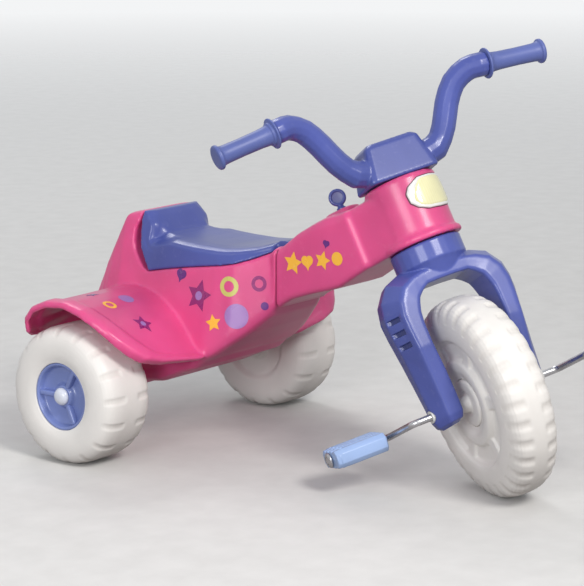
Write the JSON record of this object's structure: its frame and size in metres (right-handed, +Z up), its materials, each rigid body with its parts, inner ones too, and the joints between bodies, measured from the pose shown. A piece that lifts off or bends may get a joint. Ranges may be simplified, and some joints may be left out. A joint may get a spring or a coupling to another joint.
{
  "type": "tricycle",
  "caption": "Child's moulded plastic pedal tricycle with flared rear fenders, a lift-up seat over a tray, a raked fork, an upswept handlebar and a crank-driven front wheel.",
  "frame": {"origin": "centre of the overall box, on the floor under the wheels", "axes": "+Z up; the front wheel is towards -Y and the rear wheels towards +Y; the rider's right is -X"},
  "size_m": [0.474, 0.7714, 0.5439],
  "materials": {
    "frame_pink": "glossy moulded pink plastic",
    "moulding_violet": "glossy moulded blue-violet plastic",
    "grip_violet": "soft satin blue-violet vinyl",
    "wheel_white": "satin off-white moulded plastic",
    "hub_blue": "glossy light blue plastic",
    "zinc_steel": "zinc-plated steel",
    "bearing_nylon": "natural nylon"
  },
  "bodies": {
    "frame": {"frame_shell": "frame_pink", "rear_axle": "zinc_steel", "axle_cap_right": "zinc_steel", "axle_cap_left": "zinc_steel", "axle_spacer_right": "bearing_nylon", "axle_spacer_left": "bearing_nylon", "seat_hinge_pin": "zinc_steel", "head_bushing_upper": "bearing_nylon", "head_bushing_lower": "bearing_nylon"},
    "seat_lid": {"seat": "moulding_violet"},
    "key": {"ignition_key": "moulding_violet"},
    "rear_right": {"rear_wheel_right": "wheel_white", "rear_hub_right": "hub_blue"},
    "rear_left": {"rear_wheel_left": "wheel_white", "rear_hub_left": "hub_blue"},
    "steering": {"fork": "moulding_violet", "steering_stem": "zinc_steel", "handlebar": "moulding_violet", "grip_right": "grip_violet", "grip_left": "grip_violet", "axle_bushing_right": "bearing_nylon", "axle_bushing_left": "bearing_nylon"},
    "drive": {"front_wheel": "wheel_white", "front_hub_right": "wheel_white", "front_hub_left": "wheel_white", "crank_rod": "zinc_steel", "push_nut_right": "zinc_steel", "push_nut_left": "zinc_steel"},
    "pedal_r": {"pedal_right": "hub_blue"},
    "pedal_l": {"pedal_left": "hub_blue"}
  },
  "joints": [
    {"name": "steer", "type": "hinge", "parent": "frame", "child": "steering", "pos_m": [0, -0.21735, 0.12524], "axis": [0, 0.4818, 0.8763], "range_deg": [-14, 74]},
    {"name": "front_wheel_turn", "type": "hinge", "parent": "steering", "child": "drive", "pos_m": [0, -0.21735, 0.12524], "axis": [0.8625, -0.4434, 0.2438], "continuous": true},
    {"name": "pedal_right_turn", "type": "hinge", "parent": "drive", "child": "pedal_r", "pos_m": [-0.0909, -0.0873, 0.05375], "axis": [0.8625, -0.4434, 0.2438], "continuous": true},
    {"name": "pedal_left_turn", "type": "hinge", "parent": "drive", "child": "pedal_l", "pos_m": [0.0909, -0.34739, 0.19673], "axis": [0.8625, -0.4434, 0.2438], "continuous": true},
    {"name": "rear_right_turn", "type": "hinge", "parent": "frame", "child": "rear_right", "pos_m": [-0.193, 0.27965, 0.09], "axis": [1, 0, 0], "continuous": true},
    {"name": "rear_left_turn", "type": "hinge", "parent": "frame", "child": "rear_left", "pos_m": [0.193, 0.27965, 0.09], "axis": [1, 0, 0], "continuous": true},
    {"name": "seat_lift", "type": "hinge", "parent": "frame", "child": "seat_lid", "pos_m": [0, 0.07165, 0.276], "axis": [1, 0, 0], "range_deg": [0, 65]},
    {"name": "key_turn", "type": "hinge", "parent": "frame", "child": "key", "pos_m": [0, 0.01393, 0.34518], "axis": [0, 0.4568, 0.8896], "range_deg": [-45, 45]}
  ]
}
